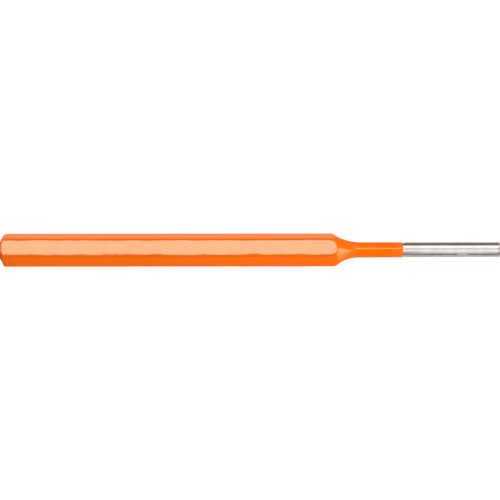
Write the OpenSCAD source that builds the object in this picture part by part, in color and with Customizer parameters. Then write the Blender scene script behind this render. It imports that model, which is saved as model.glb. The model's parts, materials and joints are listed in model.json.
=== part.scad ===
// Parallel pin punch, lying on one flat of its hexagon.
// The steel is turned from one length of hexagon bar: the bar itself is the handle, a large radius
// runs it down to a parallel drive pin, and the other end is crowned to take a hammer. A film of
// lacquer covers the steel from the struck face to a line part of the way along the pin.
// The tool lies along X with its tip at +X. Z = 0 is the flat that it rests on.

/* [Bar] */
// Overall length over the lacquer, struck face to tip
overall_len = 170; // [120:1:240]
// Width of the steel bar across its flats
bar_flats = 9.9; // [8:0.1:14]
// Radius on the six long edges of the steel bar
bar_edge_r = 0.5; // [0.2:0.05:1.5]

/* [Head] */
// Diameter of the steel flat that the hammer strikes
face_d = 5.6; // [2:0.1:7]
// Slope of the crown, measured from the struck flat
crown_slope = 27; // [5:1:45]
// Radius that rolls the crown into the sides of the bar
crown_r = 1.2; // [0.5:0.1:2.8]

/* [Pin] */
// Diameter of the drive pin
pin_d = 5; // [3:0.1:7]
// Length of the pin that is parallel, from the end of the neck to the tip
pin_len = 47.8; // [20:0.1:80]
// Chamfer round the tip of the pin
tip_chamfer = 0.35; // [0.1:0.05:1]
// Radius of the shoulder that rolls the bar over into the neck
shoulder_r = 3.5; // [1:0.5:5.5]
// Radius of the neck's hollow, which runs down to the pin
neck_r = 13.8; // [6:0.2:40]

/* [Lacquer] */
// Thickness of the lacquer film on the bar, the head and the neck
film = 0.08; // [0.05:0.01:0.25]
// Thickness that the film thins to at its edge on the pin
film_edge = 0.04; // [0.03:0.01:0.05]
// Length of the pin that is lacquered, from the end of the neck to the film's edge
lacquered_pin_len = 14.8; // [2:0.1:40]

/* [Hidden] */
$fn = 128;

sides = 6;
side_turn = 360 / sides;
// The lathe passes clear over the bar's long edges by this much
turning_clearance = 0.12;
// Cuts run this far past the surfaces that they open
overrun = 1;
// The shoulder's radius overlaps the hollow's by this much, so that they meet without a sliver between
neck_hair = 0.001;
// The crown's radius overlaps its cone by this much, for the same reason
crown_hair = 0.0001;

blank_len = overall_len - film;
pin_r = pin_d / 2;
bar_axis_z = bar_flats / 2 + film;
// Middles of the edge radii, which are the corners of a smaller hexagon
edge_centre_r = (bar_flats / 2 - bar_edge_r) / cos(side_turn / 2);
edge_centre_flat = 2 * (bar_flats / 2 - bar_edge_r) * tan(side_turn / 2);
turned_r = edge_centre_r + bar_edge_r + turning_clearance;
neck_end = blank_len - pin_len;
lacquer_end = neck_end + lacquered_pin_len;

// Slope at which the shoulder's radius passes into the hollow's
neck_slope = acos(1 - (turned_r - pin_r) / (shoulder_r + neck_r));
shoulder_start = neck_end - (shoulder_r + neck_r) * sin(neck_slope);
// Middles of those two radii, as [radius, distance from the struck face]
shoulder_centre = [turned_r - shoulder_r, shoulder_start];
hollow_centre = [pin_r + neck_r, neck_end];

// Middle of the radius that joins the crown to the sides, as [radius, distance from the struck face]
crown_centre_r = turned_r - crown_r;
crown_centre = [
    crown_centre_r,
    (crown_r + (crown_centre_r - face_d / 2) * sin(crown_slope)) / cos(crown_slope)
];

// Cross-section of the bar, with `skin` added all round. One flat faces each way along X.
module bar_section(skin) {
    for (i = [0 : sides / 2 - 1])
        rotate(i * side_turn)
            square([bar_flats + 2 * skin, edge_centre_flat], center = true);
    for (i = [0 : sides - 1])
        rotate((i + 1 / 2) * side_turn)
            translate([edge_centre_r, 0])
                circle(bar_edge_r + skin);
}

// Half profile of the crowned end and the full width behind it, as far as the shoulder.
// The face, the crown and the sides all move out by `skin`.
module crown_profile(skin) {
    rim_r = crown_r + skin;
    polygon([
        [0, -skin],
        [face_d / 2 + skin * tan(crown_slope / 2), -skin],
        crown_centre + rim_r * [sin(crown_slope), -cos(crown_slope)],
        crown_centre,
        [crown_centre_r + rim_r, crown_centre[1]],
        [crown_centre_r + rim_r, shoulder_start],
        [0, shoulder_start]
    ]);
    intersection() {
        translate(crown_centre)
            circle(rim_r + crown_hair);
        translate([crown_centre_r, -skin])
            square([rim_r, crown_centre[1] + skin]);
    }
}

// Half profile of the neck: a shoulder that rolls over, then a hollow that runs down to the pin.
// The two radii meet on the line between their middles.
module neck_profile(skin) {
    over_r = shoulder_r + skin + neck_hair;
    difference() {
        union() {
            polygon([[0, shoulder_start], shoulder_centre, hollow_centre, [0, neck_end]]);
            translate(shoulder_centre)
                intersection() {
                    circle(over_r);
                    square(over_r);
                }
        }
        translate(hollow_centre)
            circle(neck_r - skin);
    }
}

// Half profile of what the lathe leaves of the bar, kept to one side of the axis
module handle_profile(skin) {
    intersection() {
        union() {
            crown_profile(skin);
            neck_profile(skin);
        }
        translate([0, -overrun])
            square([bar_flats, neck_end + overrun]);
    }
}

// Half profile of the steel pin, with its chamfered tip
module pin_profile() {
    polygon([
        [0, neck_end],
        [pin_r, neck_end],
        [pin_r, blank_len - tip_chamfer],
        [pin_r - tip_chamfer, blank_len],
        [0, blank_len]
    ]);
}

// Half profile of the lacquered stretch of the pin, where the film thins towards its edge
module lacquered_pin_profile() {
    polygon([
        [0, neck_end],
        [pin_r + film, neck_end],
        [pin_r + film_edge, lacquer_end],
        [0, lacquer_end]
    ]);
}

// Hexagon bar with `skin` added all round, turned to the handle's profile and the pin profile given
// as its child. It stands along Z with the steel of its struck face at Z = 0.
module turned_bar(skin) {
    intersection() {
        translate([0, 0, -overrun])
            linear_extrude(blank_len + 2 * overrun)
                bar_section(skin);
        rotate_extrude() {
            handle_profile(skin);
            children();
        }
    }
}

// Lays a tool that stands along Z down along X, on one flat, centred over the origin
module lay_down() {
    translate([film - overall_len / 2, 0, bar_axis_z])
        rotate([0, 90, 0])
            children();
}

module steel_punch() {
    color("silver")
        lay_down()
            turned_bar(0)
                pin_profile();
}

module lacquer_coat() {
    color("darkorange")
        lay_down()
            difference() {
                turned_bar(film)
                    lacquered_pin_profile();
                turned_bar(0)
                    pin_profile();
            }
}

steel_punch();
lacquer_coat();
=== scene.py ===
"""Dresses the pin punch: gloss lacquer over a turned hexagon bar, and the bright end of its drive pin.

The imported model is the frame. Both of its nodes are replaced by surfaces worked out with numpy from the
same few sizes: the steel blank, and the film of lacquer that covers it as far as the paint line.
Lengths are in metres. The tool lies along X with its tip at +X, on one flat of its hexagon.
"""

from __future__ import annotations

import json
import logging
import math
from dataclasses import dataclass
from enum import Enum
from typing import Any, Sequence

import bpy
import numpy as np
from mathutils import Matrix, Vector

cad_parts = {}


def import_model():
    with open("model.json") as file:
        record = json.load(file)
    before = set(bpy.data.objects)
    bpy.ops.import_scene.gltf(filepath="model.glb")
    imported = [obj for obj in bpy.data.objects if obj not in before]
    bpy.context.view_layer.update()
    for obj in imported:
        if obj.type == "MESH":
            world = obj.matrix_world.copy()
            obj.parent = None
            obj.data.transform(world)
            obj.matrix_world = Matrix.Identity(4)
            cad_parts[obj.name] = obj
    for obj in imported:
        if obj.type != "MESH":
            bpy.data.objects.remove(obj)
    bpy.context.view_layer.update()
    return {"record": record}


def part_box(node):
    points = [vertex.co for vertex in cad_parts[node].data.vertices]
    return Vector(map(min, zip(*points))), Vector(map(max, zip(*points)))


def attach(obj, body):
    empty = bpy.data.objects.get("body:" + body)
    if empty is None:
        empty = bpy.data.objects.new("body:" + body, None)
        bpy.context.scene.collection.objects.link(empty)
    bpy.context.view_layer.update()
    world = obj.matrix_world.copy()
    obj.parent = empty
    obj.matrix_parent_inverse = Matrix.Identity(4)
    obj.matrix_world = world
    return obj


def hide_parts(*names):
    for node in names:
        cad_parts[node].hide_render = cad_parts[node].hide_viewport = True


LOG = logging.getLogger("pin_punch")

MM = 0.001
SIDES = 6
HALF_SIDE = math.pi / SIDES
# Turn in radians between the phases of neighbouring waves, so that they don't repeat
GOLDEN_TURN = 2.399963
# Rings on the struck face, as shares of its radius
FACE_RINGS = (0.3, 0.6, 0.85, 0.96, 1.0)

Colour = tuple[float, float, float]
# Numbers of steps on the crown, the bar and the neck
HandleSteps = tuple[int, int, int]

BLACK: Colour = (0.05, 0.05, 0.05)
DIM: Colour = (0.25, 0.25, 0.25)
# Height at which cards lie over the floor
MAT_Z = 0.1 * MM


def soft_min(first: np.ndarray, second: np.ndarray, width: np.ndarray) -> np.ndarray:
    """Smaller of two surfaces, with the crease between them rounded off.

    Where the two are further apart than the width, it is the plain minimum. Nearer than that, it drops
    below the minimum by a quarter of the width times the square of how near they are, from 0 to 1.

    Args:
        first: Heights of one surface.
        second: Heights of the other surface.
        width: Difference in height over which the crease is rounded.

    Returns:
        Heights of the rounded lower surface.
    """
    near = np.clip(1.0 - np.abs(first - second) / width, 0.0, 1.0)
    return np.minimum(first, second) - 0.25 * width * near**2


def ripple(place: np.ndarray, waves: Sequence[float], phase: np.ndarray | float) -> np.ndarray:
    """Uneven wave along a length, between -1 and 1: the mean of sines of unlike wavelengths.

    Args:
        place: Distances along the length.
        waves: Wavelengths, in the same unit as the distances.
        phase: Start of the waves in radians, so that neighbouring runs differ.

    Returns:
        Height of the wave at each place.
    """
    total = np.zeros(np.broadcast(place, phase).shape)
    for order, wave in enumerate(waves, start=1):
        total = total + np.sin(2.0 * math.pi * place / wave + order * phase + order * GOLDEN_TURN)
    return total / len(waves)


def by_edge(values: Sequence[float], edge: np.ndarray) -> np.ndarray:
    """Value of the long edge that each number in an array names."""
    return np.array(values)[edge]


def closed_loft(
    name: str, rings: np.ndarray, first: Sequence[float], last: Sequence[float]
) -> bpy.types.Object:
    """Mesh object over a grid of rings, closed at both ends by a fan to a single point.

    Each quad joins a point to the next ring and to the next point round. The rings turn from +Z towards +Y,
    so that a loft which runs along +X has its faces outwards.

    Args:
        name: Name of the object and of its mesh.
        rings: Points as an array of ring, place round the ring and coordinate.
        first: Point that closes the first ring.
        last: Point that closes the last ring.

    Returns:
        The new object, linked to the scene, at the origin.
    """
    count, around, _ = rings.shape
    index = np.arange(count * around).reshape(count, around)
    turned = np.roll(index, -1, axis=1)
    quads = np.stack([index[:-1], index[1:], turned[1:], turned[:-1]], axis=-1).reshape(-1, 4)
    first_index, last_index = count * around, count * around + 1
    start = np.stack([np.full(around, first_index), index[0], turned[0]], axis=-1)
    end = np.stack([np.full(around, last_index), turned[-1], index[-1]], axis=-1)
    points = np.concatenate([rings.reshape(-1, 3), [first], [last]])
    mesh = bpy.data.meshes.new(name)
    mesh.from_pydata(points.tolist(), [], quads.tolist() + start.tolist() + end.tolist())
    mesh.polygons.foreach_set("use_smooth", np.ones(len(mesh.polygons), dtype=bool))
    mesh.update()
    piece = bpy.data.objects.new(name, mesh)
    bpy.context.scene.collection.objects.link(piece)
    return piece


@dataclass(frozen=True)
class PunchSizes:
    """Sizes of the tool. Those of the handle and the pin are on the bare steel, under the film."""

    head_x: float
    tip_x: float
    paint_x: float
    axis_z: float
    flats: float
    film: float
    pin_radius: float
    pin_length: float
    film_edge: float = 0.04 * MM
    edge_radius: float = 0.5 * MM
    face_radius: float = 2.8 * MM
    crown_slope: float = math.radians(27.0)
    crown_radius: float = 1.2 * MM
    turning_clearance: float = 0.12 * MM
    shoulder_radius: float = 3.5 * MM
    neck_radius: float = 13.8 * MM
    tip_chamfer: float = 0.35 * MM
    edge_wear: tuple[float, ...] = (0.18 * MM, 0.25 * MM, 0.15 * MM, 0.18 * MM, 0.36 * MM, 0.45 * MM)

    @classmethod
    def from_frame(cls, record: dict[str, Any]) -> PunchSizes:
        """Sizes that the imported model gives, with the remaining ones at their defaults.

        Args:
            record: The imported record, which holds the drive pin's mount.

        Returns:
            The sizes of this tool.
        """
        steel_low, steel_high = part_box("steel_punch")
        coat_low, coat_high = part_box("lacquer_coat")
        pin = next(mount for mount in record["mounts"] if mount["name"] == "drive_pin")
        return cls(
            head_x=coat_low.x,
            tip_x=steel_high.x,
            paint_x=coat_high.x,
            axis_z=0.5 * (coat_low.z + coat_high.z),
            flats=steel_high.z - steel_low.z,
            film=steel_low.x - coat_low.x,
            pin_radius=pin["dims"]["r_mm"] * MM,
            pin_length=pin["dims"]["length_mm"] * MM + cls.tip_chamfer,
        )

    @property
    def blank_length(self) -> float:
        """Length of the steel, from its struck face to its tip."""
        return self.tip_x - self.head_x - self.film

    @property
    def neck_end(self) -> float:
        """Distance from the steel's struck face at which the neck has come down to the pin."""
        return self.blank_length - self.pin_length

    @property
    def paint_end(self) -> float:
        """Distance from the steel's struck face at which the lacquer stops."""
        return self.paint_x - self.head_x - self.film

    @property
    def full_radius(self) -> float:
        """Radius of the lathe's full width, a little outside the corners of the bare hexagon."""
        corner = (0.5 * self.flats - self.edge_radius) / math.cos(HALF_SIDE) + self.edge_radius
        return corner + self.turning_clearance


@dataclass(frozen=True)
class NeckForm:
    """Profile of the neck at one or many angles: a shoulder circle that passes into a hollow circle."""

    shoulder: np.ndarray
    hollow: np.ndarray
    end: np.ndarray
    drop: float

    @property
    def slope(self) -> np.ndarray:
        """Slope at which the two circles touch, from the drop over the sum of their radii."""
        return np.arccos(1.0 - self.drop / (self.shoulder + self.hollow))

    @property
    def start(self) -> np.ndarray:
        """Distance from the steel's struck face at which the shoulder starts to turn down."""
        return self.end - (self.shoulder + self.hollow) * np.sin(self.slope)


@dataclass(frozen=True)
class CrownForm:
    """Profile of the crown at one or many angles: a cone that passes into a circle.

    The circle runs into the bar's sides. Its middle is given by its distance from the axis and its depth
    from the steel's face.
    """

    middle: np.ndarray
    depth: np.ndarray
    rim: np.ndarray
    slope: np.ndarray

    @property
    def cone_end(self) -> np.ndarray:
        """Distance from the steel's face at which the cone passes into the circle."""
        return self.depth - self.rim * np.cos(self.slope)

    @property
    def cone_radius(self) -> np.ndarray:
        """Radius at which the cone passes into the circle."""
        return self.middle + self.rim * np.sin(self.slope)


@dataclass(frozen=True)
class TurnedBar:
    """Hexagon bar under an even skin, crowned at one end and turned down to a pin at the other.

    The sways and the skew say how unevenly the crown and the neck are ground round the bar. The closing
    and the opening are the powers by which rings get closer down the crown and further apart down the neck.
    """

    sizes: PunchSizes
    skin: float
    crown_crease: float = 0.1 * MM
    neck_crease: float = 0.15 * MM
    flat_steps: int = 9
    edge_steps: int = 16
    edge_zone: float = 1.1 * MM
    close_steps_mm: tuple[float, ...] = (0.04, 0.09, 0.15, 0.22, 0.32, 0.46, 0.65, 0.9)
    crown_closing: float = 1.5
    neck_opening: float = 1.4
    crown_sway: float = 1.2 * MM
    slope_sway: float = math.radians(7.0)
    shoulder_sway: float = -1.5 * MM
    hollow_sway: float = 2.7 * MM
    end_sway: float = 0.3 * MM
    end_skew: float = 0.4 * MM

    @property
    def apothem(self) -> float:
        """Distance from the axis to a flat."""
        return 0.5 * self.sizes.flats + self.skin

    @property
    def face_radius(self) -> float:
        """Radius of the struck flat over the skin."""
        return self.sizes.face_radius + self.skin * math.tan(0.5 * self.sizes.crown_slope)

    def angles(self) -> np.ndarray:
        """Angles round the section, from the middle of the upper flat towards +Y.

        Each side has even steps across its flat, then closer ones across the zone of its rounded edge.

        Returns:
            One turn of angles in radians.
        """
        flat_end = math.atan((self.apothem - self.edge_zone) * math.tan(HALF_SIDE) / self.apothem)
        flat = np.linspace(-flat_end, flat_end, self.flat_steps, endpoint=False)
        edge = np.linspace(flat_end, 2.0 * HALF_SIDE - flat_end, self.edge_steps, endpoint=False)
        sides = 2.0 * HALF_SIDE * np.arange(SIDES)
        return (sides[:, None] + np.concatenate([flat, edge])[None, :]).ravel()

    @staticmethod
    def fold(angle: np.ndarray) -> np.ndarray:
        """Angle from the middle of the nearest flat, without its sign."""
        return np.abs((angle + HALF_SIDE) % (2.0 * HALF_SIDE) - HALF_SIDE)

    @staticmethod
    def nearest_edge(angle: np.ndarray) -> np.ndarray:
        """Number of the long edge nearest to each angle, counted from the upper back one towards +Y."""
        return np.floor(angle / (2.0 * HALF_SIDE)).astype(int) % SIDES

    def edge_radius(self, angle: np.ndarray) -> np.ndarray:
        """Radius of the long edge nearest to each angle: the bar's own, the edge's wear and the skin."""
        wear = by_edge(self.sizes.edge_wear, self.nearest_edge(angle))
        return self.sizes.edge_radius + self.skin + wear

    def section_radius(self, angle: np.ndarray, edge_radius: np.ndarray) -> np.ndarray:
        """Radius of the hexagon section with rounded edges.

        On a flat it is the apothem over the cosine of the angle from the flat's middle. Past the point
        where the edge radius meets the flat, it is the far side of a circle with its middle on the
        corner's line.

        Args:
            angle: Angles from the middle of the upper flat.
            edge_radius: Radius of the rounded edges at each place.

        Returns:
            Radius at each angle.
        """
        fold = self.fold(angle)
        core = self.apothem - edge_radius
        to_middle = core / math.cos(HALF_SIDE)
        off_corner = HALF_SIDE - fold
        reach = np.sqrt(np.maximum(edge_radius**2 - (to_middle * np.sin(off_corner)) ** 2, 0.0))
        on_edge = self.apothem * np.tan(fold) > core * math.tan(HALF_SIDE)
        return np.where(on_edge, to_middle * np.cos(off_corner) + reach, self.apothem / np.cos(fold))

    def crown_form(self, angle: np.ndarray) -> CrownForm:
        """Crown under the skin at each angle, ground a little unevenly round the bar.

        Its radius is larger at the back, by the sine's fourth power. Its slope is less at the top, by the
        cosine's square.

        Args:
            angle: Angles from the middle of the upper flat.

        Returns:
            The crown's profile at those angles.
        """
        sizes = self.sizes
        slope = sizes.crown_slope - self.slope_sway * np.maximum(np.cos(angle), 0.0) ** 2
        bare = sizes.crown_radius + self.crown_sway * np.maximum(np.sin(angle), 0.0) ** 4
        middle = sizes.full_radius - bare
        rise = (middle - sizes.face_radius) * np.sin(slope)
        return CrownForm(middle, (bare + rise) / np.cos(slope), bare + self.skin, slope)

    def crease(self, along: np.ndarray) -> np.ndarray:
        """Width over which the section is rounded into the crown, or on the neck's half into the neck."""
        return np.where(along < 0.5 * self.sizes.neck_end, self.crown_crease, self.neck_crease)

    def neck_form(self, angle: np.ndarray) -> NeckForm:
        """Neck of the bare steel at each angle, ground a little unevenly round the bar.

        Both radii and the neck's end sway with the sine of the angle, from the front to the back. The end
        also sways with its cosine, from the bottom to the top.

        Args:
            angle: Angles from the middle of the upper flat.

        Returns:
            The neck's profile at those angles.
        """
        sizes = self.sizes
        back = np.sin(angle)
        skew = self.end_sway * back + self.end_skew * np.cos(angle)
        return NeckForm(
            shoulder=sizes.shoulder_radius + self.shoulder_sway * back,
            hollow=sizes.neck_radius + self.hollow_sway * back,
            end=sizes.neck_end + skew,
            drop=sizes.full_radius - sizes.pin_radius,
        )

    def turned_radius(self, along: np.ndarray, angle: np.ndarray) -> np.ndarray:
        """Radius that the lathe leaves, at distances from the steel's struck face.

        It rises up the crown's cone, then round the crown's radius to the full width. At the neck it comes
        down over the shoulder's circle, and from where the two circles touch, inside the hollow's circle.

        Args:
            along: Distances from the struck face of the steel.
            angle: Angles round the section.

        Returns:
            Radius of the turned surface at each place.
        """
        sizes = self.sizes
        crown = self.crown_form(angle)
        below = np.minimum(along - crown.depth, 0.0)
        cone = crown.cone_radius + (along - crown.cone_end) / np.tan(crown.slope)
        circle = crown.middle + np.sqrt(np.maximum(crown.rim**2 - below**2, 0.0))
        head = np.where(along < crown.cone_end, cone, circle)
        form = self.neck_form(angle)
        shoulder = form.shoulder + self.skin
        past = np.clip(along - form.start, 0.0, shoulder)
        upper = sizes.full_radius - form.shoulder + np.sqrt(shoulder**2 - past**2)
        hollow = form.hollow - self.skin
        before = np.clip(form.end - along, 0.0, hollow)
        lower = sizes.pin_radius + form.hollow - np.sqrt(hollow**2 - before**2)
        neck = np.where(past < shoulder * np.sin(form.slope), upper, lower)
        return np.minimum(head, neck)

    def crown_stations(self, radius: np.ndarray, angle: np.ndarray, count: int) -> np.ndarray:
        """Distances down the crown, from the edge of the struck flat to where the crown meets the bar.

        The bar's radius is reached on the crown's cone, or past the cone's end on its circle. The steps get
        shorter towards that place.

        Args:
            radius: Radius of the bar at each angle.
            angle: Angles round the section.
            count: Number of steps.

        Returns:
            Array of step and angle.
        """
        crown = self.crown_form(angle)
        on_cone = crown.cone_end - (crown.cone_radius - radius) * np.tan(crown.slope)
        on_round = crown.depth - np.sqrt(np.maximum(crown.rim**2 - (radius - crown.middle) ** 2, 0.0))
        crease = np.where(radius < crown.cone_radius, on_cone, on_round)
        step = np.linspace(0.0, 1.0, count + 1)[1:, None]
        return (crease + self.skin) * (1.0 - (1.0 - step) ** self.crown_closing) - self.skin

    def neck_stations(self, radius: np.ndarray, angle: np.ndarray, count: int) -> np.ndarray:
        """Distances down the neck, from where it meets the bar to where it has come down to the pin.

        The bar's radius is left on the shoulder's circle, or lower down on the hollow's circle. The steps
        get longer from that place on.

        Args:
            radius: Radius of the bar at each angle.
            angle: Angles round the section.
            count: Number of steps.

        Returns:
            Array of step and angle.
        """
        sizes = self.sizes
        form = self.neck_form(angle)
        shoulder, hollow = form.shoulder + self.skin, form.hollow - self.skin
        off_shoulder = np.clip(radius - sizes.full_radius + form.shoulder, 0.0, shoulder)
        on_shoulder = form.start + np.sqrt(shoulder**2 - off_shoulder**2)
        off_hollow = np.clip(sizes.pin_radius + form.hollow - radius, 0.0, hollow)
        on_hollow = form.end - np.sqrt(hollow**2 - off_hollow**2)
        crease = np.where(off_shoulder > shoulder * np.cos(form.slope), on_shoulder, on_hollow)
        step = np.linspace(0.0, 1.0, count)[:, None]
        return crease + (form.end - crease) * step**self.neck_opening

    def bar_stations(self, start: np.ndarray, end: np.ndarray, count: int) -> np.ndarray:
        """Distances along the bar between its two creases, even but for closer ones next to each crease.

        Args:
            start: Distance at which the crown meets the bar, at each angle.
            end: Distance at which the neck meets the bar, at each angle.
            count: Number of even steps between the closer ones.

        Returns:
            Array of step and angle.
        """
        close = MM * np.array(self.close_steps_mm)[:, None]
        inner_start, inner_end = start + close[-1], end - close[-1]
        even = np.linspace(0.0, 1.0, count + 2)[1:-1, None]
        middle = inner_start + (inner_end - inner_start) * even
        return np.concatenate([start + close, middle, end - close[::-1]])

    def stations(self, angle: np.ndarray, steps: HandleSteps) -> np.ndarray:
        """Distances down the crown, along the bar and down the neck, which ends on the pin.

        Args:
            angle: Angles round the section.
            steps: Numbers of steps on the crown, the bar and the neck.

        Returns:
            Array of step and angle.
        """
        on_crown, on_bar, on_neck = steps
        radius = self.section_radius(angle, self.edge_radius(angle))
        crown = self.crown_stations(radius, angle, on_crown)
        neck = self.neck_stations(radius, angle, on_neck)
        bar = self.bar_stations(crown[-1], neck[0], on_bar)
        return np.concatenate([crown, bar, neck])

    def plain_radius(self, along: np.ndarray, angle: np.ndarray) -> np.ndarray:
        """Radius of the bar without waves: the softer lower one of its section and the turned profile."""
        section = self.section_radius(angle, self.edge_radius(angle))
        return soft_min(section, self.turned_radius(along, angle), self.crease(along))

    def points(self, along: np.ndarray, radius: np.ndarray, angle: np.ndarray) -> np.ndarray:
        """Points of the row frame at distances, radii and angles about the tool's axis.

        Args:
            along: Distances from the steel's struck face.
            radius: Distances from the axis.
            angle: Angles from +Z towards +Y.

        Returns:
            Array with one more axis, of x, y and z.
        """
        sizes = self.sizes
        x = sizes.head_x + sizes.film + along
        y = radius * np.sin(angle)
        z = sizes.axis_z + radius * np.cos(angle)
        return np.stack(np.broadcast_arrays(x, y, z), axis=-1)


class NodeBench:
    """Places shader nodes in one node tree, and joins them."""

    def __init__(self, tree: bpy.types.NodeTree) -> None:
        """Starts on a tree, emptied of its nodes."""
        self.tree = tree
        self.tree.nodes.clear()

    def add(
        self, kind: str, inputs: dict[str | int, Any] | None = None, **settings: Any
    ) -> bpy.types.Node:
        """Places a node.

        Args:
            kind: Blender's name for the kind of node.
            inputs: Values or output sockets for its inputs, by each input's name or number.
            settings: The node's own properties.

        Returns:
            The new node.
        """
        node = self.tree.nodes.new(kind)
        for name, value in settings.items():
            setattr(node, name, value)
        for name, value in (inputs or {}).items():
            if isinstance(value, bpy.types.NodeSocket):
                self.tree.links.new(value, node.inputs[name])
            else:
                node.inputs[name].default_value = value
        return node

    def group(self, tree: bpy.types.NodeTree, inputs: dict[str | int, Any]) -> bpy.types.Node:
        """Places a node group with its own values."""
        return self.add("ShaderNodeGroup", inputs, node_tree=tree)

    def mix(self, share: Any, first: Any, second: Any) -> bpy.types.NodeSocket:
        """Colour between two colours.

        Args:
            share: Share of the second colour.
            first: First colour, or a socket.
            second: Second colour, or a socket.

        Returns:
            The mixed colour's socket.
        """
        colours = {0: share, 6: first, 7: second}
        return self.add("ShaderNodeMix", colours, data_type="RGBA").outputs[2]

    def math(self, operation: str, first: Any, second: Any = 0.0) -> bpy.types.NodeSocket:
        """Result of a sum on two values or sockets."""
        return self.add("ShaderNodeMath", {0: first, 1: second}, operation=operation).outputs[0]


class SurfaceGroups:
    """Shader groups that both finishes use."""

    def __init__(self) -> None:
        """Builds each group once."""
        self.marks = self._marks()
        self.smudges = self._smudges()

    @staticmethod
    def _tree(
        name: str, inputs: Sequence[tuple[str, str, Any]], outputs: Sequence[tuple[str, str]]
    ) -> NodeBench:
        """New group with its sockets.

        Args:
            name: Name of the group.
            inputs: Name, socket type and default of each input.
            outputs: Name and socket type of each output.

        Returns:
            A bench on the new group.
        """
        tree = bpy.data.node_groups.new(name, "ShaderNodeTree")
        for label, kind, default in inputs:
            socket = tree.interface.new_socket(name=label, in_out="INPUT", socket_type=kind)
            if default is not None:
                socket.default_value = default
        for label, kind in outputs:
            tree.interface.new_socket(name=label, in_out="OUTPUT", socket_type=kind)
        return NodeBench(tree)

    def _marks(self) -> bpy.types.NodeTree:
        """Height of fine marks: two layers of noise, the finer one weaker, drawn out by a stretch."""
        bench = self._tree(
            "Surface marks",
            (
                ("Vector", "NodeSocketVector", None),
                ("Stretch", "NodeSocketVector", (1.0, 1.0, 1.0)),
                ("Fine", "NodeSocketFloat", 0.3),
            ),
            (("Height", "NodeSocketFloat"),),
        )
        source = bench.add("NodeGroupInput")
        stretched = {0: source.outputs["Vector"], 1: source.outputs["Stretch"]}
        drawn = bench.add("ShaderNodeVectorMath", stretched, operation="MULTIPLY")
        broad = bench.add("ShaderNodeTexNoise", {"Vector": drawn.outputs[0], "Scale": 1.0, "Detail": 1.0})
        finer = 3.7
        fine = bench.add("ShaderNodeTexNoise", {"Vector": drawn.outputs[0], "Scale": finer, "Detail": 2.0})
        weak = bench.math("MULTIPLY", fine.outputs["Fac"], source.outputs["Fine"])
        bench.add("NodeGroupOutput", {"Height": bench.math("ADD", broad.outputs["Fac"], weak)})
        return bench.tree

    def _smudges(self) -> bpy.types.NodeTree:
        """Soft patches from handling: a mask from broad noise, and a value that follows it."""
        bench = self._tree(
            "Handling smudges",
            (
                ("Vector", "NodeSocketVector", None),
                ("Scale", "NodeSocketFloat", 60.0),
                ("Clean", "NodeSocketFloat", 0.1),
                ("Smudged", "NodeSocketFloat", 0.2),
            ),
            (("Mask", "NodeSocketFloat"), ("Value", "NodeSocketFloat")),
        )
        source = bench.add("NodeGroupInput")
        cloud = bench.add(
            "ShaderNodeTexNoise",
            {"Vector": source.outputs["Vector"], "Scale": source.outputs["Scale"], "Detail": 3.0},
        )
        patch = {"From Min": 0.38, "From Max": 0.66}
        mask = bench.add("ShaderNodeMapRange", {"Value": cloud.outputs["Fac"], **patch}).outputs["Result"]
        ends = {"To Min": source.outputs["Clean"], "To Max": source.outputs["Smudged"]}
        value = bench.add("ShaderNodeMapRange", {"Value": mask, **ends}).outputs["Result"]
        bench.add("NodeGroupOutput", {"Mask": mask, "Value": value})
        return bench.tree

    def relief(
        self,
        bench: NodeBench,
        place: bpy.types.NodeSocket,
        stretch: Sequence[float],
        fine: float,
        depth: float,
    ) -> bpy.types.NodeSocket:
        """Normal of a surface with fine marks on it.

        Args:
            bench: Bench on the finish's material.
            place: Coordinates on the piece.
            stretch: Marks for each metre along X, Y and Z.
            fine: Share of the finer layer of marks.
            depth: Depth of the marks.

        Returns:
            The normal's socket.
        """
        marks = bench.group(self.marks, {"Vector": place, "Stretch": stretch, "Fine": fine})
        bump = {"Strength": 1.0, "Distance": depth, "Height": marks.outputs["Height"]}
        return bench.add("ShaderNodeBump", bump).outputs["Normal"]


def new_material(name: str) -> tuple[bpy.types.Material, NodeBench]:
    """New material on nodes.

    Args:
        name: Name of the material.

    Returns:
        The material, and a bench on its emptied tree.
    """
    material = bpy.data.materials.new(name)
    material.use_nodes = True
    return material, NodeBench(material.node_tree)


def opaque(colour: Colour) -> tuple[float, float, float, float]:
    """The colour with full alpha, as a colour socket takes it."""
    return (*colour, 1.0)


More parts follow.
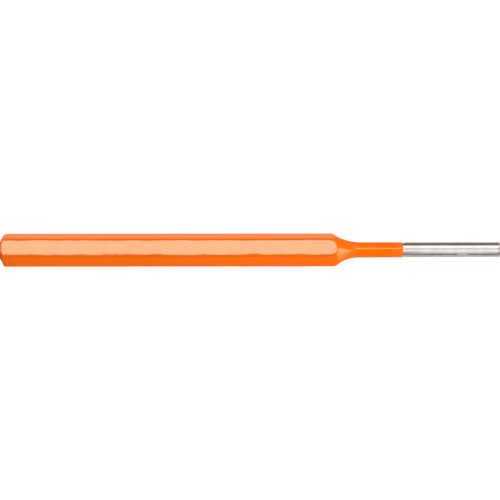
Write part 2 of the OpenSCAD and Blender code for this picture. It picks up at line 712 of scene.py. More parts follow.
@dataclass(frozen=True)
class LacquerFinish:
    """Orange gloss lacquer, with painted shade in a deeper tone on the edges, in the creases and on the
    front by the head.
    """

    colour: Colour = (0.94, 0.146, 0.001)
    drift_colour: Colour = (0.92, 0.136, 0.001)
    # Deeper tone of the painted shade on edges and creases, and its share where the mask is full
    edge_shade_colour: Colour = (0.71, 0.116, 0.001)
    edge_shade_share: float = 0.95
    roughness: float = 0.03
    smudged_roughness: float = 0.048
    refraction: float = 1.3
    smudge_scale: float = 70.0
    peel_stretch: tuple[float, float, float] = (420.0, 420.0, 420.0)
    peel_fine: float = 0.25
    peel_depth: float = 0.0007 * MM
    shade_attribute: str = "painted_edge_shade"

    def material(self, groups: SurfaceGroups) -> bpy.types.Material:
        """Material with tone drift, painted shade on edges and creases, handling smudges and a faint orange
        peel.

        Args:
            groups: The shared shader groups.

        Returns:
            The new material.
        """
        material, bench = new_material("orange_lacquer")
        place = bench.add("ShaderNodeTexCoord").outputs["Object"]
        shine = {"Clean": self.roughness, "Smudged": self.smudged_roughness}
        patches = {"Vector": place, "Scale": self.smudge_scale, **shine}
        smudges = bench.group(groups.smudges, patches).outputs
        # Share of painted shade from the film's points: deeper tone on the edges, in the creases and on the
        # front by the head
        thin = bench.add("ShaderNodeAttribute", attribute_name=self.shade_attribute).outputs["Fac"]
        body = bench.mix(smudges["Mask"], opaque(self.colour), opaque(self.drift_colour))
        colour = bench.mix(bench.math("MULTIPLY", thin, self.edge_shade_share), body, opaque(self.edge_shade_colour))
        peel = groups.relief(bench, place, self.peel_stretch, self.peel_fine, self.peel_depth)
        looks = {"Base Color": colour, "Roughness": smudges["Value"], "IOR": self.refraction, "Normal": peel}
        shader = bench.add("ShaderNodeBsdfPrincipled", looks)
        bench.add("ShaderNodeOutputMaterial", {"Surface": shader.outputs["BSDF"]})
        return material


@dataclass(frozen=True)
class BrightSteelFinish:
    """Bare ground steel, drawn lengthwise, with soft smudges."""

    colour: Colour = (0.5, 0.46, 0.44)
    smudged_colour: Colour = (0.45, 0.405, 0.385)
    roughness: float = 0.045
    smudged_roughness: float = 0.065
    smudge_scale: float = 260.0
    mark_stretch: tuple[float, float, float] = (8.0, 1500.0, 1500.0)
    mark_fine: float = 0.3
    mark_depth: float = 0.003 * MM

    def material(self, groups: SurfaceGroups) -> bpy.types.Material:
        """Material with lengthwise polishing marks and handling smudges.

        Args:
            groups: The shared shader groups.

        Returns:
            The new material.
        """
        material, bench = new_material("bright_steel")
        place = bench.add("ShaderNodeTexCoord").outputs["Object"]
        shine = {"Clean": self.roughness, "Smudged": self.smudged_roughness}
        patches = {"Vector": place, "Scale": self.smudge_scale, **shine}
        smudges = bench.group(groups.smudges, patches).outputs
        colour = bench.mix(smudges["Mask"], opaque(self.colour), opaque(self.smudged_colour))
        marks = groups.relief(bench, place, self.mark_stretch, self.mark_fine, self.mark_depth)
        looks = {"Base Color": colour, "Metallic": 1.0, "Roughness": smudges["Value"], "Normal": marks}
        shader = bench.add("ShaderNodeBsdfPrincipled", looks)
        bench.add("ShaderNodeOutputMaterial", {"Surface": shader.outputs["BSDF"]})
        return material


@dataclass(frozen=True)
class PaleFloorFinish:
    """White studio floor that shows as white and still takes the tool's shadow."""

    albedo: float = 0.6
    glow: float = 0.84
    shadow_share: float = 0.22

    def material(self) -> bpy.types.Material:
        """Material that is plain paint to scattered light, and white paper where it is seen or mirrored.

        Returns:
            The new material.
        """
        material, bench = new_material("studio_floor")
        paint = bench.add("ShaderNodeBsdfDiffuse", {"Color": opaque((self.albedo,) * 3)})
        paper = bench.add("ShaderNodeBsdfDiffuse", {"Color": opaque((self.shadow_share,) * 3)})
        glow = bench.add("ShaderNodeEmission", {"Color": opaque((1.0,) * 3), "Strength": self.glow})
        white = bench.add("ShaderNodeAddShader", {0: paper.outputs[0], 1: glow.outputs[0]})
        path = bench.add("ShaderNodeLightPath").outputs
        direct = bench.math("MAXIMUM", path["Is Camera Ray"], path["Is Glossy Ray"])
        seen = bench.math("MAXIMUM", direct, path["Is Transmission Ray"])
        shown = bench.add("ShaderNodeMixShader", {0: seen, 1: paint.outputs[0], 2: white.outputs[0]})
        bench.add("ShaderNodeOutputMaterial", {"Surface": shown.outputs[0]})
        return material


@dataclass
class LacquerCoat:
    """The film of lacquer, from the struck face to the paint line on the pin: outside, lip and inside.

    Six values in a row are for the six long edges, in the order that TurnedBar counts them in. Waves are
    the wavelengths of a ripple, along the tool or for the lip round the pin.
    """

    sizes: PunchSizes
    hair_gap: float = 0.004 * MM
    edge_sway: tuple[float, ...] = (0.28 * MM, 0.08 * MM, 0.08 * MM, 0.08 * MM, 0.08 * MM, 0.28 * MM)
    edge_waves: tuple[float, ...] = (47.0 * MM, 15.0 * MM, 8.3 * MM)
    edge_beads: tuple[float, ...] = (0.18 * MM, 0.05 * MM, 0.05 * MM, 0.05 * MM, 0.05 * MM, 0.34 * MM)
    bead_waves: tuple[float, ...] = (3.7 * MM, 2.1 * MM)
    patch_waves: tuple[float, ...] = (41.0 * MM, 17.0 * MM)
    patch_level: float = 0.4
    head_growth: tuple[float, ...] = (-0.25 * MM, 0.0, 0.0, 0.0, 0.0, 0.0)
    head_reach: float = 1.5 * MM
    neck_growth: tuple[float, ...] = (1.7 * MM, 0.0, 0.0, 0.0, 0.0, 0.9 * MM)
    neck_lead: float = 0.25
    neck_reach: float = 3.2 * MM
    flat_sway: float = 0.004 * MM
    flat_waves: tuple[float, ...] = (13.0 * MM, 7.3 * MM, 5.1 * MM)
    lip_sway: float = 0.07 * MM
    lip_waves: tuple[float, ...] = (math.pi, 0.4 * math.pi)
    lip_phase: float = 0.6
    # Painted shade on the outside: widths by edge, waves along the edges, strengths at the creases and on
    # the front by the head
    edge_shade_width: tuple[float, ...] = (0.42 * MM, 0.9 * MM, 0.4 * MM, 0.4 * MM, 0.6 * MM, 0.4 * MM)
    edge_shade_waves: tuple[float, ...] = (31.0 * MM, 11.0 * MM)
    edge_shade_mean: float = 0.85
    edge_shade_sway: float = 0.25
    crown_crease_shade: float = 0.8
    neck_crease_shade: float = 0.5
    front_shade: float = 1.2
    front_shade_reach: float = 2.2 * MM
    outer_steps: HandleSteps = (28, 300, 42)
    inner_steps: HandleSteps = (10, 6, 15)
    pin_steps: int = 25
    lip_steps: int = 5

    def _outer_radius(self, bar: TurnedBar, along: np.ndarray, angle: np.ndarray) -> np.ndarray:
        """Radius of the lacquer's outside: the softer lower one of the section and the turned profile.

        The edge radius grows and shrinks along each edge, as the film draws back from it unevenly, with
        small beads in patches. Towards the head it changes by an exponential of the distance, and towards
        the neck by its square. The flats sway by much less. On the pin, the film thins evenly to the paint
        line.

        Args:
            bar: The turned bar under the film's skin.
            along: Distances from the steel's struck face, by step and angle.
            angle: Angles round the section.

        Returns:
            Radius at each place.
        """
        sizes = self.sizes
        edge = bar.nearest_edge(angle)
        phase = edge * GOLDEN_TURN
        slow = ripple(along, self.edge_waves, phase)
        patches = np.clip(ripple(along, self.patch_waves, phase + 1.0) + self.patch_level, 0.0, 1.0)
        beads = ripple(along, self.bead_waves, phase + 2.0)
        growth = by_edge(self.edge_sway, edge) * slow + by_edge(self.edge_beads, edge) * beads * patches
        by_head = np.exp(-np.maximum(along, 0.0) / self.head_reach)
        from_neck = along - bar.neck_form(angle).start
        by_neck = np.clip(self.neck_lead + from_neck / self.neck_reach, 0.0, 1.0) ** 2
        growth = growth + by_edge(self.head_growth, edge) * by_head
        growth = growth + by_edge(self.neck_growth, edge) * by_neck
        section = bar.section_radius(angle, bar.edge_radius(angle) + growth)
        sway = ripple(along, self.flat_waves, 3.0 * angle) - 1.0
        body = soft_min(section + self.flat_sway * sway, bar.turned_radius(along, angle), bar.crease(along))
        on_pin = np.clip((along - sizes.neck_end) / (sizes.paint_end - sizes.neck_end), 0.0, 1.0)
        return body - (sizes.film - sizes.film_edge) * on_pin

    def _shade_share(self, bar: TurnedBar, along: np.ndarray, angle: np.ndarray) -> np.ndarray:
        """Share of painted shade: high on the bar's long edges and creases, and near 0 elsewhere.

        It falls off as a bell curve, with the distance from an edge's middle line or with the difference
        between the section's and the turned radius. Along an edge it varies a little. Where the crown meets
        a flat, it fades towards the flat's middle. On the front it is also high by the head, a painted shade
        that falls off from there.

        Args:
            bar: The turned bar under the film's skin.
            along: Distances from the steel's struck face, by step and angle.
            angle: Angles round the section.

        Returns:
            Thinness at each place.
        """
        section = bar.section_radius(angle, bar.edge_radius(angle))
        fold = bar.fold(angle)
        off_edge = section * np.sin(HALF_SIDE - fold)
        margin = bar.turned_radius(along, angle) - section
        on_bar = np.clip(margin / bar.crease(along) + 1.0, 0.0, 1.0)
        edge = bar.nearest_edge(angle)
        wave = ripple(along, self.edge_shade_waves, edge * GOLDEN_TURN + 3.0)
        share = np.clip(self.edge_shade_mean + self.edge_shade_sway * wave, 0.0, 1.0)
        # Painted shade along the long edges, where the film is also thinner
        edges = np.exp(-((off_edge / by_edge(self.edge_shade_width, edge)) ** 2)) * on_bar * share
        at_crown = along < 0.5 * self.sizes.neck_end
        off_middle = 1.0 - np.exp(-((fold / (0.5 * HALF_SIDE)) ** 2))
        strength = np.where(at_crown, self.crown_crease_shade * off_middle, self.neck_crease_shade)
        # Painted shade in the creases of the crown and the neck
        creases = strength * np.exp(-((margin / bar.crease(along)) ** 2))
        from_head = np.exp(-np.maximum(along, 0.0) / self.front_shade_reach)
        # Painted shade on the front by the head
        by_head = self.front_shade * np.maximum(-np.sin(angle), 0.0) * from_head
        return np.maximum(np.maximum(edges, creases), np.minimum(by_head, 1.0))

    def build(self) -> bpy.types.Object:
        """One closed film: outside from the face to the pin, over a rolled lip, and back inside.

        Returns:
            The film's object, with its painted shade as a point attribute.
        """
        sizes = self.sizes
        outside = TurnedBar(sizes, sizes.film)
        inside = TurnedBar(sizes, self.hair_gap)
        angle = outside.angles()
        row = angle[None, :]
        handle = outside.stations(angle, self.outer_steps)
        lip = self.lip_sway * (ripple(angle, self.lip_waves, self.lip_phase) - 1.0)
        lip_end = sizes.paint_end + lip[None, :]
        lip_start = lip_end - sizes.film_edge
        pin_share = np.linspace(0.0, 1.0, self.pin_steps + 1)[1:, None]
        pin = handle[-1:] + (lip_start - handle[-1:]) * pin_share
        along = np.concatenate([handle, pin])
        outer = self._outer_radius(outside, along, row)

        face = np.array(FACE_RINGS)[:, None] * outside.face_radius
        face_along = np.full((len(face), angle.size), -sizes.film)
        roll = np.linspace(0.0, 0.5 * math.pi, self.lip_steps + 1)[1:, None]
        bare = sizes.pin_radius + self.hair_gap
        roll_radius = bare + (outer[-1:] - bare) * np.cos(roll)
        roll_along = lip_start + (lip_end - lip_start) * np.sin(roll)

        back = inside.stations(angle, self.inner_steps)[::-1]
        back_radius = inside.plain_radius(back, row)
        inner_face = face[::-1] * inside.face_radius / outside.face_radius

        radii = [np.broadcast_to(face, face_along.shape), outer, roll_radius, back_radius]
        radii.append(np.broadcast_to(inner_face, face_along.shape))
        places = [face_along, along, roll_along, back, np.full(face_along.shape, -self.hair_gap)]
        rings = outside.points(np.concatenate(places), np.concatenate(radii), row)
        middle = [sizes.head_x, 0.0, sizes.axis_z]
        inner_middle = [sizes.head_x + sizes.film - self.hair_gap, 0.0, sizes.axis_z]
        piece = closed_loft("lacquer_film", rings, middle, inner_middle)

        # Share of painted shade at each point of the outside, and 0 on the face, the lip and the inside
        thin = np.zeros(len(piece.data.vertices), dtype=np.float32)
        first = face_along.size
        thin[first : first + along.size] = self._shade_share(outside, along, row).ravel()
        mask = piece.data.attributes.new(LacquerFinish.shade_attribute, "FLOAT", "POINT")
        mask.data.foreach_set("value", thin)
        return piece

    def dress(self, piece: bpy.types.Object, material: bpy.types.Material) -> None:
        """Gives the film its finish, and puts it in the CAD film's place.

        Args:
            piece: The film's object.
            material: The lacquer.
        """
        piece.data.materials.append(material)
        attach(piece, "root")
        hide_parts("lacquer_coat")


@dataclass
class SteelPunch:
    """The steel blank: crowned head, hexagon bar, neck and drive pin, with its chamfered tip."""

    sizes: PunchSizes
    edge_break: float = 0.05 * MM
    steps: HandleSteps = (14, 12, 24)
    pin_rings: int = 58
    corner_points: int = 6
    tip_rings: tuple[float, ...] = (0.97, 0.85, 0.6, 0.3)

    def _tip(self) -> tuple[np.ndarray, np.ndarray]:
        """Profile of the tip, from the pin's side over the chamfer to the end face, with broken edges.

        Each corner is a short quadratic curve between its two sides, with the corner as its middle handle.

        Returns:
            Distances from the steel's struck face, and radii.
        """
        sizes = self.sizes
        chamfer = sizes.tip_chamfer
        end = sizes.blank_length
        corners = np.array([[end - chamfer, sizes.pin_radius], [end, sizes.pin_radius - chamfer]])
        slope = np.array([1.0, -1.0]) / math.sqrt(2.0)
        ways = np.array([[[1.0, 0.0], slope], [slope, [0.0, -1.0]]])
        step = np.linspace(0.0, 1.0, self.corner_points)[:, None]
        runs = []
        for corner, (before, after) in zip(corners, ways):
            start = corner - self.edge_break * before
            finish = corner + self.edge_break * after
            runs.append((1 - step) ** 2 * start + 2 * step * (1 - step) * corner + step**2 * finish)
        profile = np.concatenate(runs)
        return profile[:, 0], profile[:, 1]

    def build(self) -> bpy.types.Object:
        """One closed blank, from the middle of its struck face to the middle of its tip.

        Returns:
            The blank's object.
        """
        sizes = self.sizes
        steel = TurnedBar(sizes, 0.0)
        angle = steel.angles()
        row = angle[None, :]
        along = steel.stations(angle, self.steps)
        tip_along, tip_radius = self._tip()
        pin_share = np.linspace(0.0, 1.0, self.pin_rings + 2)[1:-1, None]
        pin = along[-1:] + (tip_along[0] - along[-1:]) * pin_share
        around = (1, angle.size)
        face = np.array(FACE_RINGS)[:, None] * np.full(around, steel.face_radius)
        end_face = np.array(self.tip_rings)[:, None] * np.full(around, tip_radius[-1])
        places = [
            np.zeros_like(face),
            along,
            pin,
            np.broadcast_to(tip_along[:, None], (len(tip_along), angle.size)),
            np.full_like(end_face, sizes.blank_length),
        ]
        radii = [
            face,
            steel.plain_radius(along, row),
            np.full_like(pin, sizes.pin_radius),
            np.broadcast_to(tip_radius[:, None], (len(tip_radius), angle.size)),
            end_face,
        ]
        rings = steel.points(np.concatenate(places), np.concatenate(radii), row)
        first = [sizes.head_x + sizes.film, 0.0, sizes.axis_z]
        return closed_loft("steel_blank", rings, first, [sizes.tip_x, 0.0, sizes.axis_z])

    def dress(self, piece: bpy.types.Object, material: bpy.types.Material) -> None:
        """Gives the blank its finish, and puts it in the CAD blank's place.

        Args:
            piece: The blank's object.
            material: The bare steel.
        """
        piece.data.materials.append(material)
        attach(piece, "root")
        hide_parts("steel_punch")


class LampUse(Enum):
    """What a lamp is for."""

    REFLECTED = "shows in gloss and metal"
    FILL = "lights the tool without showing in it"


@dataclass(frozen=True)
class Softbox:
    """Rectangular soft lamp, aimed at the tool or level over it."""

    name: str
    centre: tuple[float, float, float]
    width: float
    depth: float
    radiance: float
    use: LampUse = LampUse.REFLECTED
    colour: Colour = (1.0, 1.0, 1.0)
    level: bool = False

    def build(self, target: Vector) -> bpy.types.Object:
        """Area lamp whose power is its radiance times its area times pi.

        Args:
            target: Point that the lamp faces, unless it hangs level.

        Returns:
            The lamp's object.
        """
        lamp = bpy.data.lights.new(self.name, "AREA")
        lamp.shape = "RECTANGLE"
        lamp.size = self.width
        lamp.size_y = self.depth
        lamp.energy = math.pi * self.radiance * self.width * self.depth
        lamp.color = self.colour
        holder = bpy.data.objects.new(self.name, lamp)
        holder.location = self.centre
        if not self.level:
            holder.rotation_euler = (holder.location - target).to_track_quat("Z", "Y").to_euler()
        holder.visible_camera = False
        holder.visible_glossy = self.use is LampUse.REFLECTED
        bpy.context.scene.collection.objects.link(holder)
        return holder


@dataclass(frozen=True)
class Overhead:
    """Level panel over the tool, between two leans from upright, in degrees, as seen from the tool."""

    name: str
    height: float
    x_range: tuple[float, float]
    lean_range: tuple[float, float]
    radiance: float
    colour: Colour = (1.0, 1.0, 1.0)

    @property
    def y_range(self) -> tuple[float, float]:
        """Edges in Y: the height times the tangent of each lean."""
        near, far = (self.height * math.tan(math.radians(lean)) for lean in self.lean_range)
        return near, far

    @property
    def tone(self) -> Colour:
        """Colour of the panel at its full radiance."""
        red, green, blue = (self.radiance * part for part in self.colour)
        return red, green, blue

    def softbox(self) -> Softbox:
        """The panel as a level lamp."""
        (left, right), (near, far) = self.x_range, self.y_range
        centre = (0.5 * (left + right), 0.5 * (near + far), self.height)
        size = (right - left, far - near)
        return Softbox(self.name, centre, *size, self.radiance, colour=self.colour, level=True)

    def points(self) -> np.ndarray:
        """The panel's four corners as a grid, for a card."""
        return along_tool(self.x_range, [(y, self.height) for y in self.y_range])


class RayTrait(Enum):
    """What a card can tell mirrored rays apart by."""

    LENGTH = "distance that the ray has come"
    SLANT = "one less the cosine of its angle from square to the card"
    SPREAD = "one less the cosine of its angle from the card's beam"

    def socket(self, bench: NodeBench) -> bpy.types.NodeSocket:
        """Value of the trait for each ray.

        Args:
            bench: Bench on the card's material.

        Returns:
            The value's socket.
        """
        if self is RayTrait.LENGTH:
            return bench.add("ShaderNodeLightPath").outputs["Ray Length"]
        # At this blend the node gives one less the cosine as it is
        facing: dict[str | int, Any] = {"Blend": 0.5}
        if self is RayTrait.SPREAD:
            beam = bench.add("ShaderNodeAttribute", attribute_name=NeckScreen.beam_name)
            facing["Normal"] = beam.outputs["Vector"]
        return bench.add("ShaderNodeLayerWeight", facing).outputs["Facing"]


@dataclass(frozen=True)
class Limit:
    """Limit on the rays that a card is lit for: a trait, and its values for no light and for full light."""

    of: RayTrait
    none: float
    full: float


@dataclass(frozen=True)
class NeckScreen:
    """Small lit screen across the pin, which the hollow of the neck mirrors as a pale triangle.

    It stands square to the tool. At each height it reaches from its front edge to its back edge, which come
    together at the top. A black wing goes on from it towards the back.
    """

    x: float = 42.0 * MM
    heights_mm: tuple[float, ...] = (0.5, 5.0, 9.0, 13.0, 15.1, 17.8, 21.7, 25.4)
    front_mm: tuple[float, ...] = (-14.6, -14.5, -13.9, -12.5, -11.2, -9.2, -7.0, -5.3)
    back_mm: tuple[float, ...] = (3.0, 3.0, 3.0, 3.0, 3.0, 0.8, -2.4, -5.1)
    rows: int = 26
    columns: int = 13
    colour: Colour = (1.0, 0.97, 0.68)
    rest: float = 2.5
    peak: float = 9.5
    peak_y: float = -2.0 * MM
    peak_z: float = 15.5 * MM
    peak_width: float = 5.5 * MM
    wing_y: tuple[float, float] = (3.0 * MM, 24.0 * MM)
    wing_z: tuple[float, float] = (0.5 * MM, 30.0 * MM)
    beam_across: tuple[float, float, float] = (0.21, 0.0638, -0.0106)
    beam_up: tuple[float, float, float] = (-0.612, -0.0035, 0.0707)
    level_name: str = "level"
    beam_name: str = "beam"

    def points(self) -> np.ndarray:
        """Points of the screen, as an array of row, place in the row and coordinate."""
        heights, front, back = MM * np.array([self.heights_mm, self.front_mm, self.back_mm])
        z = np.linspace(heights[0], heights[-1], self.rows)[:, None]
        share = np.linspace(0.0, 1.0, self.columns)[None, :]
        y = np.interp(z, heights, front) * (1.0 - share) + np.interp(z, heights, back) * share
        return np.stack(np.broadcast_arrays(self.x, y, z), axis=-1)

    def wing_points(self) -> np.ndarray:
        """Four corners of the wing, as an array of row, place in the row and coordinate."""
        return np.array([[(self.x, y, z) for y in self.wing_y] for z in self.wing_z])

    def level(self, points: np.ndarray) -> np.ndarray:
        """Light at each point: a bell curve round one bright place, over an even rest."""
        off_peak = (points[..., 1] - self.peak_y) ** 2 + (points[..., 2] - self.peak_z) ** 2
        return self.rest + self.peak * np.exp(-0.5 * off_peak / self.peak_width**2)

    def beam(self, points: np.ndarray) -> np.ndarray:
        """Unit vectors of the way that joins each point to the place on the neck which is to mirror it.

        Their parts along Y and Z are a constant and even changes for each mm of the point's y and z.

        Args:
            points: Points of the screen.

        Returns:
            One vector for each point.
        """
        y, z = points[..., 1] / MM, points[..., 2] / MM
        terms = np.stack([np.ones_like(y), y, z], axis=-1)
        across, up = terms @ np.array(self.beam_across), terms @ np.array(self.beam_up)
        ahead = np.sqrt(np.maximum(1.0 - across**2 - up**2, 0.01))
        return np.stack([ahead, across, up], axis=-1)


def along_tool(x_range: tuple[float, float], path: Sequence[tuple[float, float]]) -> np.ndarray:
    """Grid of points over a path across the tool, drawn along it.

    Args:
        x_range: Ends of the grid along the tool.
        path: Points of the path, each a place in Y and a height.

    Returns:
        Points as an array of end, place on the path and coordinate.
    """
    across = np.array(path)
    return np.stack([np.column_stack([np.full(len(across), x), across]) for x in x_range])


@dataclass(frozen=True)
class Studio:
    """Floor, lamps, cards, surroundings and camera."""

    sizes: PunchSizes
    floor_half: float = 12.0
    floor_drop: float = 0.02 * MM
    surround: float = 0.12
    gloss_across: float = 0.3
    gloss_ahead: float = 0.5
    gloss_back: float = 0.7
    gloss_turn: tuple[float, float] = (0.15, 0.5)
    elevation: float = math.radians(80.9)
    roll: float = -0.0012
    lens_mm: float = 200.0
    sensor_mm: float = 36.0
    far_card_y: float = 0.08
    # Distance from the axis at which the sheets of painted shadow beside the neck and the pin start
    pin_mat_y: float = 2.7 * MM

    @property
    def middle(self) -> Vector:
        """Middle of the tool, on its axis."""
        return Vector((0.5 * (self.sizes.head_x + self.sizes.tip_x), 0.0, self.sizes.axis_z))

    def floor(self, material: bpy.types.Material) -> bpy.types.Object:
        """Level square floor, just under the flat that the tool lies on.

        Args:
            material: The floor's paint.

        Returns:
            The floor's object.
        """
        half = self.floor_half
        corners = [(-half, -half), (half, -half), (half, half), (-half, half)]
        mesh = bpy.data.meshes.new("studio_floor")
        mesh.from_pydata([(x, y, -self.floor_drop) for x, y in corners], [], [(0, 1, 2, 3)])
        mesh.materials.append(material)
        floor = bpy.data.objects.new("studio_floor", mesh)
        bpy.context.scene.collection.objects.link(floor)
        return floor

    def lamps(self) -> list[Softbox]:
        """The lamps: a warm strip over the handle, and four fills."""
        warm = (1.0, 0.97, 0.76)
        boxes = [Overhead("strip_over_handle", 0.5, (-0.15, 0.0535), (5.5, 15.5), 19.8, warm).softbox()]
        boxes.append(Softbox("fill_at_right", (0.66, -0.37, 0.215), 0.53, 0.37, 10.2, LampUse.FILL, warm))
        boxes.append(Softbox("fill_behind", (0.0, 0.88, 0.47), 0.8, 0.5, 4.25, LampUse.FILL))
        boxes.append(Softbox("fill_in_front", (0.3, -0.6, 0.62), 0.6, 0.6, 1.25, LampUse.FILL))
        boxes.append(Softbox("fill_at_left", (-0.98, 0.0, 0.2), 0.5, 0.5, 5.2, LampUse.FILL))
        return boxes

    @staticmethod
    def card_object(name: str, points: np.ndarray) -> tuple[bpy.types.Object, NodeBench]:
        """Sheet over a grid of points that only gloss and metal show, with an empty material.

        Args:
            name: Name of the card and of its material.
            points: Points as an array of row, place in the row and coordinate.

        Returns:
            The card's object, and a bench on its material.
        """
        count, across, _ = points.shape
        index = np.arange(count * across).reshape(count, across)
        quads = np.stack([index[:-1, :-1], index[1:, :-1], index[1:, 1:], index[:-1, 1:]], axis=-1)
        mesh = bpy.data.meshes.new(name)
        mesh.from_pydata(points.reshape(-1, 3).tolist(), [], quads.reshape(-1, 4).tolist())
        material, bench = new_material(name)
        material.cycles.emission_sampling = "NONE"
        mesh.materials.append(material)
        card = bpy.data.objects.new(name, mesh)
        card.visible_camera = False
        card.visible_diffuse = False
        card.visible_shadow = False
        bpy.context.scene.collection.objects.link(card)
        return card, bench

    def card(self, name: str, points: np.ndarray, tone: Colour) -> None:
        """Plain card by the tool, for its gloss and its bare steel to mirror.

        Args:
            name: Name of the card and of its material.
            points: Points as an array of row, place in the row and coordinate.
            tone: Colour that the card shows, against 1 for white.
        """
        _, bench = self.card_object(name, points)
        plain = bench.add("ShaderNodeEmission", {"Color": opaque(tone), "Strength": 1.0})
        bench.add("ShaderNodeOutputMaterial", {"Surface": plain.outputs[0]})

    def neck_screen(self) -> None:
        """Lit screen by the neck, and its wing. Both are clear to rays from elsewhere on the tool."""
        screen = NeckScreen()
        points = screen.points()
        card, bench = self.card_object("screen_by_neck", points)
        level = card.data.attributes.new(screen.level_name, "FLOAT", "POINT")
        level.data.foreach_set("value", screen.level(points).astype(np.float32).ravel())
        beam = card.data.attributes.new(screen.beam_name, "FLOAT_VECTOR", "POINT")
        beam.data.foreach_set("vector", screen.beam(points).astype(np.float32).ravel())
        strength = bench.add("ShaderNodeAttribute", attribute_name=screen.level_name).outputs["Fac"]
        slants = (Limit(RayTrait.SLANT, 0.035, 0.055), Limit(RayTrait.SLANT, 0.62, 0.55))
        nearest = Limit(RayTrait.LENGTH, 11.6 * MM, 12.2 * MM)
        furthest = Limit(RayTrait.LENGTH, 17.2 * MM, 16.4 * MM)
        spread = Limit(RayTrait.SPREAD, 0.035, 0.025)
        self.limited_light(bench, screen.colour, strength, (*slants, nearest, furthest, spread))
        _, wing_bench = self.card_object("wing_by_neck", screen.wing_points())
        reach = Limit(RayTrait.LENGTH, 32.0 * MM, 28.0 * MM)
        self.limited_light(wing_bench, BLACK, 1.0, (*slants, reach))

    @staticmethod
    def limited_light(bench: NodeBench, tone: Colour, strength: Any, limits: Sequence[Limit]) -> None:
        """Light on the front of a card that only rays within its limits are shown. To the rest it is clear.

        Each limit fades the light evenly between its two values, and the limits are multiplied.

        Args:
            bench: Bench on the card's material.
            tone: Colour of the light.
            strength: Its level, or a socket.
            limits: Limits on the rays that are shown the light.
        """
        backs = bench.add("ShaderNodeNewGeometry").outputs["Backfacing"]
        shown = bench.math("SUBTRACT", 1.0, backs)
        for limit in limits:
            ends = {"From Min": limit.none, "From Max": limit.full}
            ramp = bench.add("ShaderNodeMapRange", {"Value": limit.of.socket(bench), **ends})
            shown = bench.math("MULTIPLY", shown, ramp.outputs["Result"])
        lit = bench.add("ShaderNodeEmission", {"Color": opaque(tone), "Strength": strength})
        clear = bench.add("ShaderNodeBsdfTransparent")
        either = bench.add("ShaderNodeMixShader", {0: shown, 1: clear.outputs[0], 2: lit.outputs[0]})
        bench.add("ShaderNodeOutputMaterial", {"Surface": either.outputs[0]})

    def neck_strip(self) -> None:
        """Yellow strip low over the neck, which the lacquered pin mirrors as a thin line along its top."""
        strip = Overhead("strip_over_neck", 0.03, (0.0368, 0.0529), (5.6, 14.0), 25.5, (1.0, 0.97, 0.38))
        _, bench = self.card_object(strip.name, strip.points()[::-1])
        limits = (Limit(RayTrait.LENGTH, 28.0 * MM, 26.0 * MM), Limit(RayTrait.SLANT, 0.065, 0.05))
        self.limited_light(bench, strip.colour, strip.radiance, limits)

    @staticmethod
    def panels() -> tuple[Overhead, ...]:
        """Pale level panels over the pin that only show in gloss and metal."""
        return (
            Overhead("panel_behind_pin", 0.2, (0.0635, 0.135), (23.5, 58.4), 2.4),
            Overhead("panel_over_pin", 0.2, (0.0615, 0.112), (-9.8, 23.5), 1.46),
            Overhead("panel_before_pin", 0.2, (0.0622, 0.118), (-37.3, -9.8), 1.85),
            Overhead("low_panel_before_pin", 0.5, (0.1, 0.19), (-62.0, -38.0), 1.35),
            Overhead("lowest_panel_before_pin", 0.5, (0.12, 0.24), (-74.0, -62.0), 0.97),
        )

    def bar_cards(self) -> None:
        """Cards by the handle: pale behind it, dark along the tops and before it, black by the head."""
        bar, head = (-0.092, 0.03), (-0.125, -0.0865)
        for name, x_range, path, tone in (
            ("card_behind_bar", bar, [(0.010, 0.0003), (0.010, 0.0037)], (1.6, 1.12, 0.74)),
            ("top_behind_bar", bar, [(0.010, 0.0037), (0.010, 0.0056)], (0.8, 0.56, 0.18)),
            ("card_before_bar", bar, [(-0.016, 0.0003), (-0.016, 0.0052)], DIM),
            ("top_before_bar", bar, [(-0.016, 0.0052), (-0.016, 0.026)], BLACK),
            ("card_behind_head", head, [(0.0035, MAT_Z), (0.02, MAT_Z)], BLACK),
            ("card_at_head", head, [(-0.0008, MAT_Z), (0.0035, MAT_Z)], (0.62, 0.6, 0.3)),
            ("card_before_head", head, [(-0.0008, MAT_Z), (-0.02, MAT_Z)], BLACK),
        ):
            self.card(name, along_tool(x_range, path), tone)

    def pin_cards(self) -> None:
        """Cards by the neck and the pin: black by lacquer, dark and grey by steel, pale past the tip.
        The dim and grey sheets on the floor beside them are painted shadow, which only gloss and metal show.

        The black ones stand far enough off for the steel not to mirror them when it is seen from a corner.
        """
        neck, neck_floor, pin = (0.037, 0.0568), (0.034, 0.0522), (0.053, 0.09)
        dark, grey = (0.39, 0.36, 0.33), (0.88, 0.88, 0.88)
        mat_y = self.pin_mat_y
        for place, side in (("behind", 1.0), ("before", -1.0)):
            far_y = side * self.far_card_y
            self.card(f"card_{place}_neck", along_tool(neck, [(far_y, MAT_Z), (far_y, 0.144)]), BLACK)
            # Dim sheet on the floor beside the neck: painted shadow that the lacquer mirrors
            shadow_mat = along_tool(neck_floor, [(side * mat_y, MAT_Z), (far_y, MAT_Z)])
            self.card(f"mat_{place}_neck", shadow_mat, DIM)
        # The floor part of the card behind the pin is painted shadow; its upright part is a dark card
        behind = [(mat_y, MAT_Z), (0.016, MAT_Z), (0.016, 0.0115)]
        self.card("card_behind_pin", along_tool(pin, behind), dark)
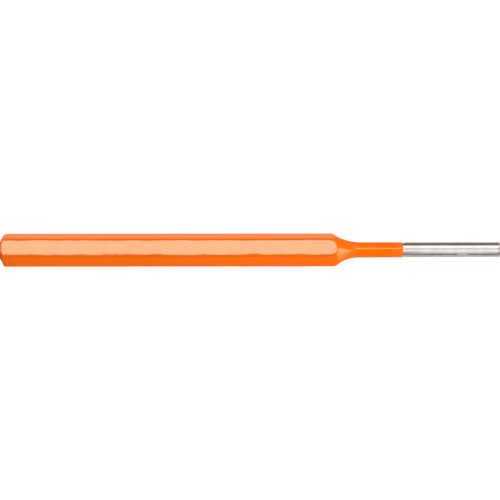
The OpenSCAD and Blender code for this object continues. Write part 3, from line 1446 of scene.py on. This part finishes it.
        # Grey sheet on the floor before the pin: painted shadow that the steel mirrors
        self.card("shadow_mat_before_pin", along_tool(pin, [(-mat_y, MAT_Z), (-0.03, MAT_Z)]), grey)
        tip = np.array([[(0.1, y, z) for y in (-0.01, 0.01)] for z in (0.0005, 0.09)])
        self.card("card_past_tip", tip, (1.5, 1.45, 1.4))
        for name, x_range in (("first", (0.053, 0.072)), ("last", (0.0757, 0.09))):
            self.card(f"{name}_card_before_pin", self.ragged_points(x_range), dark)
        self.card("gap_before_pin", along_tool((0.072, 0.0757), [(-0.025, 0.0031), (-0.025, 0.0125)]), grey)

    @staticmethod
    def ragged_points(x_range: tuple[float, float]) -> np.ndarray:
        """Points of an upright card before the pin, with an uneven top.

        The top is high but for a low run over part of the pin, and has small waves on it.

        Args:
            x_range: Ends of the card along the tool.

        Returns:
            Points as an array of bottom and top, place along the tool and coordinate.
        """
        card_y, bottom, places = -0.025, 3.1 * MM, 61
        low_run = MM * np.array([57.0, 59.0, 63.5, 65.5])
        tops = MM * np.array([12.0, 8.7, 8.7, 12.0])
        wave_height, waves = 1.6 * MM, (4.3 * MM, 2.9 * MM, 1.7 * MM)
        x = np.linspace(*x_range, places)
        top = np.interp(x, low_run, tops) + wave_height * ripple(x, waves, 0.0)
        return np.stack([np.column_stack(np.broadcast_arrays(x, card_y, z)) for z in (bottom, top)])

    def world(self) -> bpy.types.World:
        """Plain surroundings: white to the camera, pale in gloss, metal and glass, and dim as light.

        In gloss they are dimmer square across the tool than towards either of its ends.

        Returns:
            The scene's world.
        """
        world = bpy.data.worlds.new("studio")
        world.use_nodes = True
        bench = NodeBench(world.node_tree)
        path = bench.add("ShaderNodeLightPath").outputs
        mirrored = bench.math("MAXIMUM", path["Is Glossy Ray"], path["Is Transmission Ray"])
        way = bench.add("ShaderNodeTexCoord").outputs["Generated"]
        along = bench.add("ShaderNodeSeparateXYZ", {"Vector": way}).outputs["X"]
        start, full = self.gloss_turn
        level: Any = self.gloss_across - self.surround
        for side, end_level in ((1.0, self.gloss_ahead), (-1.0, self.gloss_back)):
            turn = {"From Min": side * start, "From Max": side * full}
            rise = end_level - self.gloss_across
            end = bench.add("ShaderNodeMapRange", {"Value": along, **turn, "To Max": rise})
            level = bench.math("ADD", level, end.outputs["Result"])
        pale = bench.math("MULTIPLY", mirrored, level)
        seen = bench.math("MULTIPLY", path["Is Camera Ray"], 1.0 - self.surround)
        strength = bench.math("ADD", bench.math("ADD", pale, seen), self.surround)
        white = opaque((1.0, 1.0, 1.0))
        background = bench.add("ShaderNodeBackground", {"Color": white, "Strength": strength})
        bench.add("ShaderNodeOutputWorld", {"Surface": background.outputs[0]})
        bpy.context.scene.world = world
        return world

    def camera(self) -> bpy.types.Object:
        """Camera in front of the tool, far above it, with the tool's length just filling the frame's width.

        Its distance is the focal length over the sensor's width, times the tool's length.

        Returns:
            The camera's object.
        """
        data = bpy.data.cameras.new("studio_camera")
        data.lens = self.lens_mm
        data.sensor_width = self.sensor_mm
        distance = self.lens_mm / self.sensor_mm * (self.sizes.tip_x - self.sizes.head_x)
        away = Vector((0.0, -math.cos(self.elevation), math.sin(self.elevation)))
        camera = bpy.data.objects.new("studio_camera", data)
        turn = away.to_track_quat("Z", "Y").to_matrix() @ Matrix.Rotation(self.roll, 3, "Z")
        camera.matrix_world = Matrix.Translation(self.middle + distance * away) @ turn.to_4x4()
        bpy.context.scene.collection.objects.link(camera)
        bpy.context.scene.camera = camera
        return camera

    def build(self, floor_material: bpy.types.Material) -> None:
        """Sets up the whole studio.

        Args:
            floor_material: The floor's paint.
        """
        bpy.context.scene.view_settings.view_transform = "Standard"
        self.camera()
        self.floor(floor_material)
        self.world()
        self.bar_cards()
        self.pin_cards()
        self.neck_screen()
        self.neck_strip()
        for panel in self.panels():
            self.card(panel.name, panel.points(), panel.tone)
        for lamp in self.lamps():
            lamp.build(self.middle)
            LOG.info("lamp %s: %s", lamp.name, lamp.use.value)


def report_piece(piece: bpy.types.Object) -> None:
    """Logs a piece's name and its numbers of points and faces."""
    mesh = piece.data
    LOG.info("piece %s: %d points, %d faces", piece.name, len(mesh.vertices), len(mesh.polygons))


def main() -> None:
    """Loads the frame, builds the studio and the two pieces, and notes the sizes."""
    logging.basicConfig(level=logging.INFO, format="%(name)s: %(message)s")
    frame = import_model()
    sizes = PunchSizes.from_frame(frame["record"])
    Studio(sizes).build(PaleFloorFinish().material())
    groups = SurfaceGroups()

    punch = SteelPunch(sizes)
    blank = punch.build()
    punch.dress(blank, BrightSteelFinish().material(groups))
    report_piece(blank)

    coat = LacquerCoat(sizes)
    film = coat.build()
    coat.dress(film, LacquerFinish().material(groups))
    report_piece(film)


if __name__ == "__main__":
    main()
